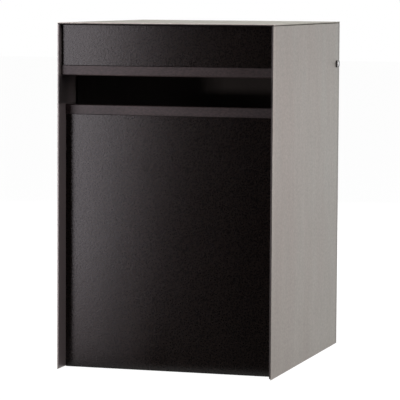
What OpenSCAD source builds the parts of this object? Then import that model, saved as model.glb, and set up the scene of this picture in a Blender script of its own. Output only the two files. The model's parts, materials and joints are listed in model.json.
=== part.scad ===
// Book drop box: a black steel cabinet with grey side and top claddings.
// Books go in through the front slot, push a hanging flap aside and slide down a
// chute onto a platform that sinks on springs. Staff empty it by the rear door.
// Frame: millimetres, floor at Z = 0, front towards -Y, origin under the middle.

/* [Cabinet] */
// width over the side claddings
body_w = 640; // [600:1:700]
// depth from the front rims to the rear rims
body_d = 780; // [750:1:840]
// height to the top of the top cladding
body_h = 1000; // [980:1:1060]
// thickness of the folded black sheet
sheet_t = 1.5; // [1.2:0.1:2]
// thickness of the grey cladding sheet
clad_t = 1.5; // [1.2:0.1:2]
// depth of a liner from the interior to the back of its cladding
liner_t = 3.5; // [3:0.1:5]
// lift of the liners above the floor
liner_lift = 4; // [2:0.5:8]
// step of the claddings behind the liner rims
clad_inset = 0.8; // [0.4:0.1:2]
// height of the rims of the floor pan
pan_rim_h = 40; // [34:1:50]
// gap over those rims
pan_gap = 4; // [2:0.5:8]

/* [Top] */
// height of the rim of the top cladding
top_rim = 3; // [2.6:0.1:5]
// height of the dark seam under that rim
seam_h = 2; // [1.6:0.1:3]
// step of the seam behind the outer faces
seam_inset = 1; // [0.7:0.1:1.1]
// height of the top liner's side flanges
top_flange_h = 25; // [20:1:32]
// gap from the fascia's flanges to those flanges
top_flange_gap = 25; // [20:1:40]
// height of the flange that stops the rear door
stop_flange_h = 34; // [28:1:45]

/* [Slot] */
// drop of the slot's lower edge below the top
slot_drop = 235; // [225:1:250]
// clear height of the slot
slot_h = 84; // [76:1:90]
// step of the fascia behind the front rims
fascia_recess = 20; // [16:0.5:26]
// step of the lower panel behind the front rims
panel_recess = 59; // [52:0.5:64]
// gap between the fascia and the top liner
fascia_gap = 2; // [1:0.5:4]
// gap between the lower panel and the floor
panel_gap = 1.5; // [1:0.5:4]
// height of each edge trim
trim_h = 28; // [24:1:32]
// gap from the upper trim to the fascia's flanges
trim_gap = 3; // [2:0.5:6]
// thickness of one leg of a trim
trim_leg = 3.75; // [3:0.25:4.5]
// depth of the side flanges of the fascia and the lower panel
flange_d = 25; // [22:1:30]
// height of the hem at the foot of the lower panel
hem_h = 12; // [8:1:18]

/* [Chute] */
// gap from the lower trim to the chute
chute_gap = 4; // [2:0.5:8]
// slope of the chute
chute_slope = 26; // [22:1:30]
// run of the chute behind the lower panel
chute_run = 228; // [200:1:250]
// height of the chute's front flange
chute_flange_h = 25; // [18:1:35]
// height of the lip at the chute's end
chute_lip_h = 12; // [8:1:18]
// distance from the lower panel to the tabs that hold the chute
chute_tab_in = 60; // [50:1:70]
// length of those tabs
chute_tab_l = 80; // [60:1:100]
// height of those tabs
chute_tab_h = 34; // [28:1:44]

/* [Flap] */
// distance of the flap's axis behind the front rims
flap_y = 140; // [130:1:155]
// drop of the flap's axis below the top
flap_drop = 85; // [78:1:95]
// gap from the flap to the liners
flap_gap = 7; // [5:0.5:10]
// length of the flap below its axis
flap_len = 200; // [190:1:205]
// thickness of the flap
flap_t = 2; // [1.5:0.1:3]
// diameter of the flap's rod
flap_rod_d = 8; // [7:0.5:10]
// wall of the curl round that rod
flap_curl_t = 2.5; // [2:0.25:4]
// diameter of the bead along the flap's edge
flap_bead_d = 6; // [4:0.5:8]
// outer diameter of the flap's bushes
flap_bush_d = 12; // [11.5:0.5:14]
// diameter of the bracket boss that holds a bush
flap_boss_d = 20; // [18:1:26]
// length of a bracket's lugs beyond its boss
flap_lug = 18; // [14:1:22]
// length of that boss
flap_boss_l = 14; // [12:0.5:18]
// thickness of the flange on a bush
bush_rim_t = 1.5; // [1:0.25:2.5]
// width of that flange
bush_rim_w = 2.5; // [1.5:0.25:4]
// side of a rubber stop
stop_size = 14; // [11:1:16]
// length of a rubber stop
stop_l = 20; // [16:1:30]
// height of the stops above the lower edge of the flap
stop_rise = 22; // [18:1:30]

/* [Platform] */
// drop of the empty platform below the top
platform_drop = 439; // [430:1:450]
// gap from the platform to the panels around it
platform_gap = 25; // [20:1:32]
// thickness of the rubber mat
mat_t = 3; // [2:0.5:6]
// border of the tray round the mat
mat_border = 5; // [3:0.5:12]
// depth of the tray's flanges
tray_flange_h = 28; // [24:1:34]
// diameter of a guide rod
rod_d = 20; // [18:0.5:21]
// distance of a rod's axis from the liner
rod_inset = 25; // [24.5:0.5:28]
// rise of a guide rod above its bracket
rod_proud = 8.1; // [6:0.1:12]
// outer diameter of a carriage bush
carriage_bush_d = 26; // [25:0.5:28]
// diameter of the carriage boss
carriage_boss_d = 38; // [36:0.5:40]
// height of the carriage boss
carriage_h = 60; // [54:1:66]
// rise of the boss above the mat
carriage_rise = 17; // [14:1:20]
// gap from the carriage's bush to its plate
carriage_gap = 10; // [7:0.5:14]
// thickness of the carriage's plate and web
carriage_t = 5; // [4:0.5:6]
// width of the carriage's plate
carriage_w = 60; // [54:1:70]
// height of a rod foot
foot_h = 8; // [6:1:12]
// length of a rod foot
foot_l = 64; // [56:1:76]
// height of the arm of a rod bracket
arm_h = 14; // [12:1:18]
// reach of that arm beyond the rod
arm_nose = 8; // [6:0.5:12]
// height of the lug above the arm
arm_lug = 22; // [18:1:30]
// width of a rod bracket
arm_w = 52; // [46:1:60]
// height of the rubber buffer under a rod bracket
buffer_h = 11; // [8:1:12]
// outer diameter of that buffer
buffer_d = 32; // [29:1:36]

/* [Springs] */
// mean diameter of a spring
spring_d = 38; // [36:0.5:39]
// diameter of its wire
wire_d = 3.5; // [3:0.1:4]
// length of a spring under a full platform
spring_short_l = 105.5; // [90:0.5:140]
// turns of a spring
spring_turns = 20; // [16:1:22]
// thickness of a spring seat
seat_t = 3; // [2:0.5:5]
// outer diameter of a spring seat
seat_d = 45; // [43.5:0.5:46]

/* [Rear door] */
// gap from the door to the right liner
door_gap = 2; // [1.8:0.1:3]
// gap between the two leaves of a hinge
leaf_gap = 0.6; // [0.4:0.1:1]
// thickness of a hinge leaf
leaf_t = 1.5; // [1.2:0.1:2]
// width of a leaf on the cabinet
leaf_w = 28; // [22:1:36]
// step of a leaf on the door behind the door's rim
leaf_inset = 2; // [1:0.5:4]
// gap under the door
door_foot_gap = 6; // [4:0.5:10]
// gap over the door
door_head_gap = 5; // [3:0.5:8]
// step of the door's face inside the rear rims
door_inset = 2; // [1.5:0.5:3]
// depth of the door's flanges
door_flange_d = 20; // [16:0.5:22]
// length of a hinge
hinge_l = 70; // [60:1:90]
// height of the middle of each hinge
hinge_z = 150; // [120:1:200]
// diameter of a hinge knuckle
knuckle_d = 8; // [7.5:0.25:9]
// diameter of a hinge pin
pin_d = 4; // [3.5:0.25:4.5]
// width of the rim of a pin's head
pin_rim = 1; // [0.5:0.25:1.5]
// height of that head
pin_head_h = 1.5; // [1:0.25:3]
// distance of the hinge axis behind the rear rims
knuckle_back = 4.1; // [4:0.05:4.5]
// length of the pull
pull_l = 130; // [100:1:170]
// width of the pull's base
pull_w = 26; // [22:1:32]
// reach of the pull behind the door
pull_reach = 18; // [14:1:24]
// thickness of a rubber door buffer
door_buffer_t = 4; // [3:0.25:4.25]
// diameter of a rubber door buffer
door_buffer_d = 14; // [12:1:16]
// rest gap between the buffers and the door
door_rest_gap = 0.4; // [0.3:0.05:0.8]

/* [Lock] */
// drop of the lock's axis below the top
lock_drop = 129; // [120:1:140]
// distance of the lock's axis from the rear rims
lock_back = 39; // [38:0.5:42]
// diameter of the lock's head
lock_head_d = 22; // [21:0.5:26]
// projection of the lock's head
lock_head_h = 8; // [6:0.5:10]
// width of the step round that head
lock_step = 1.5; // [1:0.25:2.5]
// diameter of the lock's barrel
lock_barrel_d = 19; // [18:0.5:20]
// reach of the barrel into the cabinet
lock_reach = 18; // [16:0.5:22]
// diameter of the key plug
lock_plug_d = 13; // [12:0.5:14]
// step of the plug inside the head
plug_set = 0.6; // [0.3:0.1:1]
// width over the lock nut
lock_nut_w = 24; // [23:0.5:26]
// thickness of the lock nut
lock_nut_t = 5; // [4:0.5:7]
// length of the cam from the lock's axis
cam_l = 32; // [29:0.5:32.5]
// width of the cam
cam_w = 16; // [14:0.5:18]
// thickness of the cam
cam_t = 2.5; // [2:0.25:3]
// side of the square that drives the cam
cam_square = 7; // [6:0.25:8]
// diameter of the screw that holds the cam
cam_screw_d = 3.2; // [3:0.1:3.6]
// length of that screw
cam_screw_l = 7; // [6:0.5:9]
// height of its head
cam_screw_head_h = 2.5; // [2:0.25:3]
// width of the keyway
key_w = 1.8; // [1.4:0.1:2.2]
// height of the keyway
key_h = 8; // [6:0.5:9]
// depth of the keyway
key_depth = 9; // [7:0.5:11]
// thickness of the keeper plate
keeper_t = 2.5; // [2:0.25:3]
// height of the keeper plate
keeper_h = 20; // [16:1:24]
// length of the keeper's base
keeper_base = 28; // [24:1:34]
// gap between the cam and the keeper
keeper_gap = 1; // [0.6:0.1:2]
// step of the keeper's arm beside the cam
keeper_step = 8; // [6:0.5:12]
// reach of the keeper's tab past the cam
keeper_over = 1.5; // [0.5:0.25:3]

/* [Fasteners] */
// diameter of a screw
screw_d = 5; // [4:0.5:6]
// diameter of a screw head
screw_head_d = 9; // [8:0.5:11]
// height of a screw head
screw_head_h = 2.6; // [2:0.2:3.4]
// height of a rivet head on the door
rivet_h = 1.4; // [1:0.1:2]
// thickness of the bolted brackets
bracket_t = 3; // [2.5:0.25:4]

/* [Fits] */
// radial clearance of a turning or sliding fit
run_fit = 0.05; // [0.03:0.01:0.08]
// radial clearance of a fixed fit
seat_fit = 0.05; // [0.03:0.01:0.08]
// radial clearance of a screw hole
hole_fit = 0.2; // [0.15:0.05:0.4]
// gap that keeps moving curved faces apart
air_gap = 0.4; // [0.3:0.05:0.6]

/* [Hidden] */
$fn = 48;
eps = 1;

front = -body_d / 2;
rear = body_d / 2;
xi = body_w / 2 - clad_t - liner_t;
flange_x = xi - sheet_t;
side_h = body_h - top_rim - seam_h;
slot_z = body_h - slot_drop;
flap_z = body_h - flap_drop;
platform_z = body_h - platform_drop;
lock_z = body_h - lock_drop;

fascia_y = front + fascia_recess;
panel_y = front + panel_recess;
panel_back = panel_y + sheet_t;
trim_d = 2 * trim_leg + sheet_t;
trim_r = trim_d / 2;
slot_top = slot_z + slot_h;
panel_top = slot_z - trim_r;
fascia_foot = slot_top + trim_r;
hem_back = panel_back + sheet_t;

stop_y = rear - door_inset - door_flange_d - door_rest_gap - door_buffer_t - sheet_t;
pan_front = hem_back;
pan_back = stop_y + sheet_t;

chute_top = slot_z - trim_h - chute_gap;
chute_end = panel_back + chute_run;
chute_drop = chute_run * tan(chute_slope);
chute_tab_y = panel_back + chute_tab_in;
function chute_at(y) = chute_top - (y - panel_back) * tan(chute_slope);

flap_axis_y = front + flap_y;
flap_curl_r = flap_rod_d / 2 + run_fit + flap_curl_t;
flap_boss_x = xi - bracket_t - flap_boss_l;
flap_bracket_half = flap_boss_d / 2 + flap_lug;
flap_curl_x = flap_boss_x - bush_rim_t - air_gap;
flap_half = xi - flap_gap;
flap_foot = flap_z - flap_len;
flap_shoulder = flap_z - flap_boss_d;

tray_z = platform_z - mat_t;
tray_front = panel_back + platform_gap;
tray_back = stop_y - platform_gap;
rod_x = xi - rod_inset;
tray_half = rod_x - carriage_bush_d / 2 - carriage_t - carriage_gap;
carriage_top = platform_z + carriage_rise;
carriage_foot = carriage_top - carriage_h;
arm_z = carriage_top + air_gap + buffer_h;
rod_top = arm_z + arm_h + rod_proud;
seat_top = sheet_t + foot_h + seat_t;
platform_travel = carriage_foot - seat_top - spring_short_l;
echo(platform_travel = platform_travel);

door_left = -xi + 2 * leaf_t + leaf_gap;
door_right = xi - door_gap;
door_face = rear - door_inset;
door_front = door_face - door_flange_d;
door_foot = door_foot_gap;
door_head = side_h - door_head_gap;
hinge_x = -xi + leaf_t + leaf_gap / 2;
hinge_y = rear + knuckle_back;
hinge_zs = [hinge_z, side_h - hinge_z];
knuckle_l = hinge_l / 3;
buffer_xs = [-0.6 * xi, 0.6 * xi];

lock_y = rear - lock_back;
barrel_end = xi - lock_reach;
cam_x = barrel_end - air_gap - cam_t;
keeper_y = lock_y - cam_w / 2 - keeper_gap - keeper_t;
keeper_z = lock_z + cam_l * 0.62;
keeper_x = cam_x - keeper_step;
pull_x = 0.82 * xi;
door_rivets_at = concat(
    [for (s = [-1, 1]) [pull_x - pull_w / 2, lock_z + s * pull_l * 0.36, sheet_t]],
    [for (s = [-1, 1]) [keeper_x - keeper_base / 2, keeper_z + keeper_h * (0.5 + s * 0.3), keeper_t]]
);

// Fixing points on a side wall: [y, z, thickness of the plate under the head]
fascia_points = [for (k = [0.3, 0.86]) [
    fascia_y + flange_d * 0.6, slot_top + trim_h + k * (side_h - slot_top - trim_h), sheet_t
]];
panel_points = [for (k = [0.09, 0.36, 0.63, 0.9]) [panel_y + flange_d * 0.6, k * chute_top, sheet_t]];
chute_points = [for (k = [0.25, 0.75]) [
    chute_tab_y + k * chute_tab_l,
    chute_at(chute_tab_y + k * chute_tab_l) - chute_tab_h * 0.6,
    sheet_t
]];
flap_points = [for (s = [-1, 1]) [flap_axis_y, flap_z + s * (flap_boss_d + flap_lug) / 2, bracket_t]];
arm_points = [for (s = [-1, 1]) [s * arm_w * 0.32, arm_z + arm_h + arm_lug * 0.55, bracket_t]];
top_points = [for (k = [0.25, 0.5, 0.75]) [
    front + k * body_d, side_h - top_flange_h * 0.55, sheet_t
]];
pan_points = [for (k = [0.2, 0.8]) [front + k * body_d, pan_rim_h * 0.62, sheet_t]];
wall_points = concat(
    fascia_points, panel_points, chute_points, flap_points, arm_points, top_points, pan_points
);

black = [0.10, 0.10, 0.10];
grey = [0.62, 0.60, 0.58];
steel = [0.72, 0.72, 0.74];
zinc = [0.60, 0.61, 0.63];
nylon = [0.85, 0.84, 0.80];
rubber = [0.05, 0.05, 0.05];

// Box between two corners
module block(a, b) {
    translate(a)
        cube(b - a);
}

// Round bar along X, from x0 to x1
module bar_x(d, x0, x1, y, z) {
    translate([x0, y, z])
        rotate([0, 90, 0])
            cylinder(d = d, h = x1 - x0);
}

// Round bar along Y, from y0 to y1
module bar_y(d, x, y0, y1, z) {
    translate([x, y0, z])
        rotate([-90, 0, 0])
            cylinder(d = d, h = y1 - y0);
}

// Upright round bar
module bar_z(d, x, y, z0, z1) {
    translate([x, y, z0])
        cylinder(d = d, h = z1 - z0);
}

// Profile drawn in Y and Z, drawn out along X on both sides of the middle
module along_x(half) {
    translate([-half, 0, 0])
        rotate([90, 0, 90])
            linear_extrude(2 * half)
                children();
}

// The same piece on the right and, mirrored, on the left
module both_sides() {
    children();
    mirror([1, 0, 0])
        children();
}

// Holes for the screws at a list of fixing points, right side
module wall_holes(points) {
    for (p = points)
        bar_x(screw_d + 2 * hole_fit, xi - 2 * bracket_t, xi + sheet_t + eps / 2, p[0], p[1]);
}

// Screws at a list of fixing points, both sides, heads inside
module wall_screws(points) {
    both_sides()
        for (p = points) {
            bar_x(screw_head_d, xi - p[2] - screw_head_h, xi - p[2], p[0], p[1]);
            bar_x(screw_d, xi - p[2] - eps, xi + liner_t - air_gap, p[0], p[1]);
        }
}

// Black side wall: a shallow tray, open towards its cladding
module liner() {
    difference() {
        block([xi, front, liner_lift], [xi + liner_t, rear, side_h]);
        block(
            [xi + sheet_t, front + sheet_t, liner_lift + sheet_t],
            [xi + liner_t + eps, rear - sheet_t, side_h - sheet_t]
        );
        wall_holes(wall_points);
    }
}

module left_liner() {
    color(black)
        mirror([1, 0, 0])
            liner();
}

module right_liner() {
    color(black)
        difference() {
            liner();
            bar_x(lock_barrel_d + 2 * hole_fit, xi - eps, xi + liner_t, lock_y, lock_z);
        }
}

// Grey side sheet
module cladding() {
    block(
        [xi + liner_t, front + clad_inset, 0],
        [xi + liner_t + clad_t, rear - clad_inset, side_h]
    );
}

module left_cladding() {
    color(grey)
        mirror([1, 0, 0])
            cladding();
}

module right_cladding() {
    color(grey)
        difference() {
            cladding();
            bar_x(
                lock_barrel_d + 2 * hole_fit, xi + liner_t - eps, body_w / 2 + eps, lock_y, lock_z
            );
        }
}

// Black tray under the top, with the flange that stops the rear door
module top_liner() {
    color(black)
        difference() {
            union() {
                block(
                    [-body_w / 2 + seam_inset, front + seam_inset, side_h],
                    [body_w / 2 - seam_inset, rear - seam_inset, side_h + seam_h]
                );
                both_sides()
                    block(
                        [flange_x, fascia_y + flange_d + top_flange_gap, side_h - top_flange_h],
                        [xi, stop_y + sheet_t, side_h]
                    );
                block(
                    [-xi, stop_y, side_h - stop_flange_h],
                    [xi, stop_y + sheet_t, side_h]
                );
            }
            both_sides()
                wall_holes(top_points);
        }
}

// Grey tray on top, resting on its rim
module top_cladding() {
    color(grey)
        difference() {
            block([-body_w / 2, front, body_h - top_rim], [body_w / 2, rear, body_h]);
            block(
                [-body_w / 2 + clad_t, front + clad_t, body_h - top_rim - eps],
                [body_w / 2 - clad_t, rear - clad_t, body_h - clad_t]
            );
        }
}

// Floor pan with upturned rims
module base_pan() {
    color(black)
        difference() {
            block([-xi, pan_front, 0], [xi, pan_back, pan_rim_h]);
            block(
                [-flange_x, pan_front + sheet_t, sheet_t],
                [flange_x, pan_back - sheet_t, pan_rim_h + eps]
            );
            both_sides()
                wall_holes(pan_points);
        }
}

// Panel above the slot, folded back at its sides
module fascia() {
    color(black)
        difference() {
            union() {
                block([-xi, fascia_y, fascia_foot], [xi, fascia_y + sheet_t, side_h - fascia_gap]);
                both_sides()
                    block(
                        [flange_x, fascia_y, slot_top + trim_h + trim_gap],
                        [xi, fascia_y + flange_d, side_h - fascia_gap]
                    );
            }
            both_sides()
                wall_holes(fascia_points);
        }
}

// Outline of an edge trim: two legs round a sheet and a half-round nose at Z = 0
module trim_outline() {
    difference() {
        union() {
            translate([0, trim_r])
                circle(r = trim_r);
            translate([-trim_r, trim_r])
                square([trim_d, trim_h - trim_r]);
        }
        translate([-sheet_t / 2, trim_r])
            square([sheet_t, trim_h]);
    }
}

module upper_trim() {
    color(black)
        along_x(xi)
            translate([fascia_y + sheet_t / 2, slot_top])
                trim_outline();
}

module lower_trim() {
    color(black)
        along_x(xi)
            translate([panel_y + sheet_t / 2, slot_z])
                mirror([0, 1])
                    trim_outline();
}

// Lower front panel, folded back at its sides and hemmed at its foot
module front_panel() {
    color(black)
        difference() {
            union() {
                block([-xi, panel_y, panel_gap], [xi, panel_back, panel_top]);
                block([-flange_x, panel_y, panel_gap], [flange_x, hem_back, panel_gap + hem_h]);
                both_sides()
                    block(
                        [flange_x, panel_y, pan_rim_h + pan_gap],
                        [xi, panel_y + flange_d, chute_top]
                    );
            }
            both_sides()
                wall_holes(panel_points);
        }
}

// Slope that the books slide down
module chute_outline() {
    polygon([
        [panel_back, chute_top],
        [panel_back, chute_top - chute_flange_h],
        [panel_back + sheet_t, chute_top - chute_flange_h],
        [panel_back + sheet_t, chute_at(panel_back + sheet_t) - sheet_t],
        [chute_end - sheet_t, chute_at(chute_end - sheet_t) - sheet_t],
        [chute_end - sheet_t, chute_at(chute_end) - chute_lip_h],
        [chute_end, chute_at(chute_end) - chute_lip_h],
        [chute_end, chute_at(chute_end)]
    ]);
}

// Side tab under the slope
module chute_tab_outline() {
    y0 = chute_tab_y;
    y1 = chute_tab_y + chute_tab_l;
    polygon([
        [y0, chute_at(y0)],
        [y0, chute_at(y0) - chute_tab_h],
        [y1, chute_at(y1) - chute_tab_h],
        [y1, chute_at(y1)]
    ]);
}

module chute() {
    color(black)
        difference() {
            union() {
                along_x(flange_x)
                    chute_outline();
                difference() {
                    along_x(xi)
                        chute_tab_outline();
                    along_x(flange_x)
                        translate([0, -sheet_t])
                            chute_tab_cut();
                }
            }
            both_sides()
                wall_holes(chute_points);
        }
}

// Room between the two side tabs, under the slope
module chute_tab_cut() {
    y0 = chute_tab_y - eps;
    y1 = chute_tab_y + chute_tab_l + eps;
    polygon([
        [y0, chute_at(y0)],
        [y0, chute_at(y0) - 2 * chute_tab_h],
        [y1, chute_at(y1) - 2 * chute_tab_h],
        [y1, chute_at(y1)]
    ]);
}

// Bracket with a boss for the bush of the flap's rod
module flap_brackets() {
    color(black)
        both_sides()
            difference() {
                union() {
                    block(
                        [xi - bracket_t, flap_axis_y - flap_boss_d / 2, flap_z - flap_bracket_half],
                        [xi, flap_axis_y + flap_boss_d / 2, flap_z + flap_bracket_half]
                    );
                    bar_x(flap_boss_d, flap_boss_x, xi - eps, flap_axis_y, flap_z);
                }
                bar_x(
                    flap_bush_d + 2 * seat_fit, flap_boss_x - eps, xi - bracket_t,
                    flap_axis_y, flap_z
                );
                wall_holes(flap_points);
            }
}

// Flanged bush in each bracket
module flap_bushes() {
    color(nylon)
        both_sides()
            difference() {
                union() {
                    bar_x(flap_bush_d, flap_boss_x - eps / 2, xi - bracket_t, flap_axis_y, flap_z);
                    bar_x(
                        flap_bush_d + 2 * bush_rim_w, flap_boss_x - bush_rim_t, flap_boss_x,
                        flap_axis_y, flap_z
                    );
                }
                bar_x(
                    flap_rod_d + 2 * run_fit, flap_boss_x - bush_rim_t - eps, xi,
                    flap_axis_y, flap_z
                );
            }
}

// Rubber stop on each wall, in front of the hanging flap
module flap_stops() {
    y1 = flap_axis_y - flap_t / 2 - air_gap;
    z0 = flap_foot + stop_rise;
    color(rubber)
        both_sides()
            block([xi - stop_l, y1 - stop_size, z0], [xi, y1, z0 + stop_size]);
}

// Hanging flap: a plate with a curl round its rod and a bead along its edge
module flap_plate() {
    color(black)
        difference() {
            union() {
                bar_x(2 * flap_curl_r, -flap_curl_x, flap_curl_x, flap_axis_y, flap_z);
                block(
                    [-flap_curl_x, flap_axis_y - flap_t / 2, flap_shoulder - eps],
                    [flap_curl_x, flap_axis_y + flap_t / 2, flap_z]
                );
                block(
                    [-flap_half, flap_axis_y - flap_t / 2, flap_foot + flap_bead_d / 2],
                    [flap_half, flap_axis_y + flap_t / 2, flap_shoulder]
                );
                bar_x(
                    flap_bead_d, -flap_half, flap_half,
                    flap_axis_y + (flap_bead_d - flap_t) / 2, flap_foot + flap_bead_d / 2
                );
            }
            bar_x(flap_rod_d + 2 * seat_fit, -xi, xi, flap_axis_y, flap_z);
        }
}

module flap_rod() {
    end = xi - bracket_t - air_gap;
    color(steel)
        bar_x(flap_rod_d, -end, end, flap_axis_y, flap_z);
}

module guide_rods() {
    color(steel)
        both_sides()
            bar_z(rod_d, rod_x, 0, sheet_t, rod_top);
}

// Block that holds the lower end of a rod
module rod_feet() {
    color(black)
        both_sides()
            difference() {
                block(
                    [rod_x - seat_d / 2, -foot_l / 2, sheet_t],
                    [flange_x, foot_l / 2, sheet_t + foot_h]
                );
                bar_z(rod_d + 2 * seat_fit, rod_x, 0, 0, rod_top);
            }
}

// Bracket that holds the upper end of a rod
module rod_brackets() {
    color(black)
        both_sides()
            difference() {
                union() {
                    block(
                        [rod_x - rod_d / 2 - arm_nose, -arm_w / 2, arm_z],
                        [xi, arm_w / 2, arm_z + arm_h]
                    );
                    block(
                        [xi - bracket_t, -arm_w / 2, arm_z],
                        [xi, arm_w / 2, arm_z + arm_h + arm_lug]
                    );
                }
                bar_z(rod_d + 2 * seat_fit, rod_x, 0, arm_z - eps, rod_top + eps);
                wall_holes(arm_points);
            }
}

// Rubber ring that the platform comes up against
module rod_buffers() {
    color(rubber)
        both_sides()
            difference() {
                bar_z(buffer_d, rod_x, 0, arm_z - buffer_h, arm_z);
                bar_z(rod_d + 2 * seat_fit, rod_x, 0, 0, rod_top);
            }
}

module spring_seats() {
    color(nylon)
        both_sides()
            difference() {
                bar_z(seat_d, rod_x, 0, seat_top - seat_t, seat_top);
                bar_z(rod_d + 2 * seat_fit, rod_x, 0, 0, rod_top);
            }
}

// Spring: one tube of six sides along a helix, with a straight piece at each end
rings_per_turn = 8;
wire_sides = 6;
spring_z0 = seat_top + wire_d / 2;
spring_z1 = carriage_foot - air_gap - wire_d / 2;
spring_pitch = (spring_z1 - spring_z0) / spring_turns;
ring_count = spring_turns * rings_per_turn + 1;

function coil_point(k) = [
    spring_d / 2 * cos(360 * k / rings_per_turn),
    spring_d / 2 * sin(360 * k / rings_per_turn),
    spring_z0 + spring_pitch * k / rings_per_turn
];
function coil_way(k) = [
    -sin(360 * k / rings_per_turn), cos(360 * k / rings_per_turn), 0
];
spring_path = concat(
    [coil_point(0) - wire_d * coil_way(0)],
    [for (k = [0 : ring_count - 1]) coil_point(k)],
    [coil_point(ring_count - 1) + wire_d * coil_way(ring_count - 1)]
);
function ring_angle(i) = 360 * (min(max(i - 1, 0), ring_count - 1)) / rings_per_turn;
function ring_points(i) = [for (j = [0 : wire_sides - 1])
    spring_path[i] + wire_d / 2 * (
        cos(360 * j / wire_sides) * [cos(ring_angle(i)), sin(ring_angle(i)), 0]
        + sin(360 * j / wire_sides) * [0, 0, 1]
    )
];
spring_rings = ring_count + 2;
spring_points = [for (i = [0 : spring_rings - 1]) each ring_points(i)];
spring_faces = concat(
    [[for (j = [0 : wire_sides - 1]) j]],
    [for (i = [0 : spring_rings - 2]) for (j = [0 : wire_sides - 1]) each [
        [i * wire_sides + j, (i + 1) * wire_sides + j, i * wire_sides + (j + 1) % wire_sides],
        [
            i * wire_sides + (j + 1) % wire_sides,
            (i + 1) * wire_sides + j,
            (i + 1) * wire_sides + (j + 1) % wire_sides
        ]
    ]],
    [[for (j = [wire_sides - 1 : -1 : 0]) (spring_rings - 1) * wire_sides + j]]
);
spring_self_gap = min([for (k = [0 : rings_per_turn])
    norm(spring_path[1 + rings_per_turn + k] - spring_path[1 + k])
]) - wire_d;
echo(spring_self_gap = spring_self_gap);

module coil() {
    translate([rod_x, 0, 0])
        polyhedron(points = spring_points, faces = spring_faces);
}

module left_spring() {
    color(zinc)
        translate([-2 * rod_x, 0, 0])
            coil();
}

module right_spring() {
    color(zinc)
        coil();
}

// Tray that carries the books
module platform_tray() {
    color(zinc)
        difference() {
            block([-tray_half, tray_front, tray_z - tray_flange_h], [tray_half, tray_back, tray_z]);
            block(
                [-tray_half + sheet_t, tray_front + sheet_t, tray_z - tray_flange_h - eps],
                [tray_half - sheet_t, tray_back - sheet_t, tray_z - sheet_t]
            );
            both_sides()
                for (s = [-1, 1])
                    bar_x(
                        screw_d + 2 * hole_fit, tray_half - sheet_t - eps, tray_half + eps,
                        s * carriage_w * 0.34, tray_z - tray_flange_h / 2
                    );
        }
}

module platform_mat() {
    color(rubber)
        block(
            [-tray_half + mat_border, tray_front + mat_border, tray_z],
            [tray_half - mat_border, tray_back - mat_border, platform_z]
        );
}

// Carriage on each rod: plate on the tray, web and boss
module carriages() {
    z0 = tray_z - tray_flange_h;
    color(zinc)
        both_sides()
            difference() {
                union() {
                    bar_z(carriage_boss_d, rod_x, 0, carriage_foot, carriage_top);
                    block(
                        [tray_half, -carriage_t, z0],
                        [rod_x, carriage_t, tray_z]
                    );
                    block(
                        [tray_half, -carriage_w / 2, z0],
                        [tray_half + carriage_t, carriage_w / 2, tray_z]
                    );
                }
                bar_z(
                    carriage_bush_d + 2 * seat_fit, rod_x, 0, carriage_foot - eps, carriage_top + eps
                );
                for (s = [-1, 1])
                    bar_x(
                        screw_d + 2 * hole_fit, tray_half - eps, tray_half + carriage_t + eps,
                        s * carriage_w * 0.34, tray_z - tray_flange_h / 2
                    );
            }
}

module carriage_bushes() {
    color(nylon)
        both_sides()
            difference() {
                bar_z(carriage_bush_d, rod_x, 0, carriage_foot, carriage_top);
                bar_z(rod_d + 2 * run_fit, rod_x, 0, carriage_foot - eps, carriage_top + eps);
            }
}

module carriage_bolts() {
    color(steel)
        both_sides()
            for (s = [-1, 1]) {
                bar_x(
                    screw_head_d, tray_half - sheet_t - screw_head_h, tray_half - sheet_t,
                    s * carriage_w * 0.34, tray_z - tray_flange_h / 2
                );
                bar_x(
                    screw_d, tray_half - sheet_t - eps, tray_half + carriage_t,
                    s * carriage_w * 0.34, tray_z - tray_flange_h / 2
                );
            }
}

// Rear door: a sheet folded forward on all four edges
module rear_door() {
    color(black)
        difference() {
            block([door_left, door_front, door_foot], [door_right, door_face, door_head]);
            block(
                [door_left + sheet_t, door_front - eps, door_foot + sheet_t],
                [door_right - sheet_t, door_face - sheet_t, door_head - sheet_t]
            );
            for (p = door_rivets_at)
                bar_y(screw_d + 2 * hole_fit, p[0], door_front, door_face + eps, p[1]);
        }
}

// Knuckle with its bore, from z0 to z1
module knuckle(z0, z1, bore) {
    difference() {
        children();
        bar_z(bore, hinge_x, hinge_y, z0 - eps, z1 + eps);
    }
}

// Hinge leaves on the left wall, with the outer knuckles
module frame_hinges() {
    color(steel)
        for (zc = hinge_zs) {
            z0 = zc - hinge_l / 2;
            z1 = zc + hinge_l / 2;
            knuckle(z0, z1, pin_d + 2 * seat_fit)
                union() {
                    block([-xi, rear - leaf_w, z0], [-xi + leaf_t, rear - air_gap, z1]);
                    for (z = [z0, z1 - knuckle_l]) {
                        bar_z(knuckle_d, hinge_x, hinge_y, z, z + knuckle_l);
                        block([-xi, rear - knuckle_d / 4, z], [-xi + leaf_t, hinge_y, z + knuckle_l]);
                    }
                }
        }
}

// Hinge leaves on the door, with the middle knuckle
module door_hinges() {
    color(steel)
        for (zc = hinge_zs) {
            z0 = zc - knuckle_l / 2 + air_gap;
            z1 = zc + knuckle_l / 2 - air_gap;
            knuckle(z0, z1, pin_d + 2 * run_fit)
                union() {
                    block(
                        [door_left - leaf_t, door_front + leaf_inset, zc - hinge_l / 2],
                        [door_left, rear - air_gap, zc + hinge_l / 2]
                    );
                    bar_z(knuckle_d, hinge_x, hinge_y, z0, z1);
                    block([door_left - leaf_t, rear - knuckle_d / 4, z0], [door_left, hinge_y, z1]);
                }
        }
}

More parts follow.
